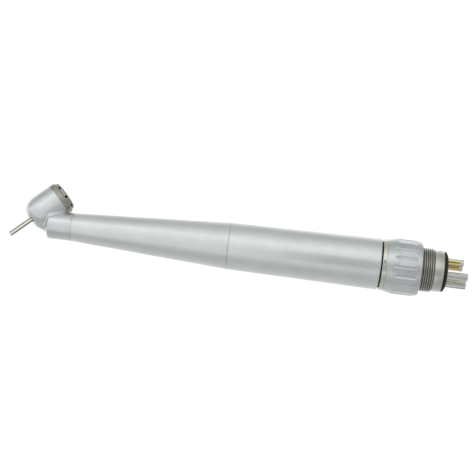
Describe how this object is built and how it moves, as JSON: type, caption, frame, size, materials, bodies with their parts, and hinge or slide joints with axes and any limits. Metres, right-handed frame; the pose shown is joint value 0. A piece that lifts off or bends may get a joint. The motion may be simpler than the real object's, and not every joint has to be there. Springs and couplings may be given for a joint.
{
  "type": "dental high speed handpiece",
  "caption": "Air-turbine dental handpiece with a tilted surgical head, push-button chuck with a test pin, tapered satin body and a quick coupler with fluted release ring.",
  "frame": {"origin": "centre of the rear gasket face, where the hose connector seats", "axes": "+X along the body axis out of the rear connector, +Z towards the push-button side"},
  "size_m": [0.1596, 0.0194, 0.0246],
  "materials": {
    "head_housing": "satin",
    "front_sleeve": "satin",
    "rear_sleeve": "satin",
    "release_ring": "satin",
    "head_cap_ring": "brushed",
    "push_button": "brushed",
    "rotor_spindle": "brushed",
    "chuck_pusher": "brushed",
    "race_circlip": "brushed",
    "coupler_nipple": "brushed",
    "release_stop_ring": "brushed",
    "test_pin": "polished",
    "chuck_collet": "polished",
    "drive_air_connector_tube": "polished",
    "exhaust_connector_tube": "polished",
    "coupler_body": "machined",
    "nozzle_insert": "machined",
    "neck_joint_ring": "machined",
    "middle_joint_ring": "machined",
    "coupler_front_ring": "satin",
    "water_connector_tube": "polished",
    "chip_air_connector_tube": "polished",
    "water_pipe": "polished",
    "coupler_seal": "matte",
    "hose_gasket": "matte",
    "front_bearing_o_ring": "matte",
    "rear_bearing_o_ring": "matte",
    "nipple_o_ring_1": "matte",
    "nipple_o_ring_2": "matte",
    "nipple_o_ring_3": "matte",
    "non_return_valve": "matte",
    "button_spring": "ground",
    "cartridge_sleeve": "ground",
    "wave_washer": "ground",
    "front_bearing_outer_ring": "ground",
    "front_bearing_inner_ring": "ground",
    "rear_bearing_outer_ring": "ground",
    "rear_bearing_inner_ring": "ground",
    "drive_air_pipe": "ground",
    "chip_air_pipe": "ground",
    "coupling_socket": "ground",
    "lock_race": "ground",
    "lock_ball_1": "ground",
    "lock_ball_2": "ground",
    "lock_ball_3": "ground",
    "release_spring": "ground",
    "turbine_wheel": "machined",
    "front_ball_cage": "polished",
    "rear_ball_cage": "polished"
  },
  "bodies": {
    "handpiece": {"head_housing": "head_housing", "head_cap_ring": "head_cap_ring", "cartridge_sleeve": "cartridge_sleeve", "nozzle_insert": "nozzle_insert", "front_bearing_outer_ring": "front_bearing_outer_ring", "rear_bearing_outer_ring": "rear_bearing_outer_ring", "front_bearing_o_ring": "front_bearing_o_ring", "rear_bearing_o_ring": "rear_bearing_o_ring", "wave_washer": "wave_washer", "button_spring": "button_spring", "neck_joint_ring": "neck_joint_ring", "front_sleeve": "front_sleeve", "middle_joint_ring": "middle_joint_ring", "rear_sleeve": "rear_sleeve", "drive_air_pipe": "drive_air_pipe", "water_pipe": "water_pipe", "chip_air_pipe": "chip_air_pipe", "non_return_valve": "non_return_valve", "coupling_socket": "coupling_socket", "race_circlip": "race_circlip"},
    "push_button": {"push_button": "push_button"},
    "rotor": {"rotor_spindle": "rotor_spindle", "turbine_wheel": "turbine_wheel", "chuck_collet": "chuck_collet", "front_bearing_inner_ring": "front_bearing_inner_ring", "rear_bearing_inner_ring": "rear_bearing_inner_ring"},
    "front_balls": {"front_ball_cage": "front_ball_cage"},
    "rear_balls": {"rear_ball_cage": "rear_ball_cage"},
    "chuck_pusher": {"chuck_pusher": "chuck_pusher"},
    "test_pin": {"test_pin": "test_pin"},
    "lock_race": {"lock_race": "lock_race"},
    "coupler": {"coupler_nipple": "coupler_nipple", "nipple_o_ring_1": "nipple_o_ring_1", "nipple_o_ring_2": "nipple_o_ring_2", "nipple_o_ring_3": "nipple_o_ring_3", "lock_ball_1": "lock_ball_1", "lock_ball_2": "lock_ball_2", "lock_ball_3": "lock_ball_3", "coupler_seal": "coupler_seal", "coupler_front_ring": "coupler_front_ring", "coupler_body": "coupler_body", "release_stop_ring": "release_stop_ring", "release_spring": "release_spring", "hose_gasket": "hose_gasket", "water_connector_tube": "water_connector_tube", "chip_air_connector_tube": "chip_air_connector_tube", "drive_air_connector_tube": "drive_air_connector_tube", "exhaust_connector_tube": "exhaust_connector_tube"},
    "release_ring": {"release_ring": "release_ring"}
  },
  "joints": [
    {"name": "button_press", "type": "slide", "parent": "handpiece", "child": "push_button", "axis": [-0.7071, 0, -0.7071], "range_m": [0, 0.0006], "stiffness_N_per_m": 2500, "deforming": ["button_spring"]},
    {"name": "rotor_spin", "type": "hinge", "parent": "handpiece", "child": "rotor", "pos_m": [-0.14541, 0, 0.00108], "axis": [0.7071, 0, 0.7071], "continuous": true},
    {"name": "front_balls_spin", "type": "hinge", "parent": "handpiece", "child": "front_balls", "pos_m": [-0.14541, 0, 0.00108], "axis": [0.7071, 0, 0.7071], "continuous": true},
    {"name": "rear_balls_spin", "type": "hinge", "parent": "handpiece", "child": "rear_balls", "pos_m": [-0.14541, 0, 0.00108], "axis": [0.7071, 0, 0.7071], "continuous": true},
    {"name": "pusher_slide", "type": "slide", "parent": "rotor", "child": "chuck_pusher", "axis": [-0.7071, 0, -0.7071], "range_m": [0, 0.0004]},
    {"name": "pin_release", "type": "slide", "parent": "rotor", "child": "test_pin", "axis": [-0.7071, 0, -0.7071], "range_m": [0, 0.009]},
    {"name": "coupler_swivel", "type": "hinge", "parent": "handpiece", "child": "lock_race", "pos_m": [-0.03, 0, 0], "axis": [1, 0, 0], "continuous": true},
    {"name": "coupler_pull_off", "type": "slide", "parent": "lock_race", "child": "coupler", "axis": [1, 0, 0], "range_m": [0, 0.036]},
    {"name": "release_ring_pull", "type": "slide", "parent": "coupler", "child": "release_ring", "axis": [1, 0, 0], "range_m": [0, 0.0015], "stiffness_N_per_m": 3000, "deforming": ["release_spring"]}
  ],
  "couplings": [
    {"joint": "front_balls_spin", "follows": "rotor_spin", "ratio": 0.4},
    {"joint": "rear_balls_spin", "follows": "rotor_spin", "ratio": 0.4},
    {"joint": "pusher_slide", "follows": "button_press", "ratio": 0.6666}
  ]
}
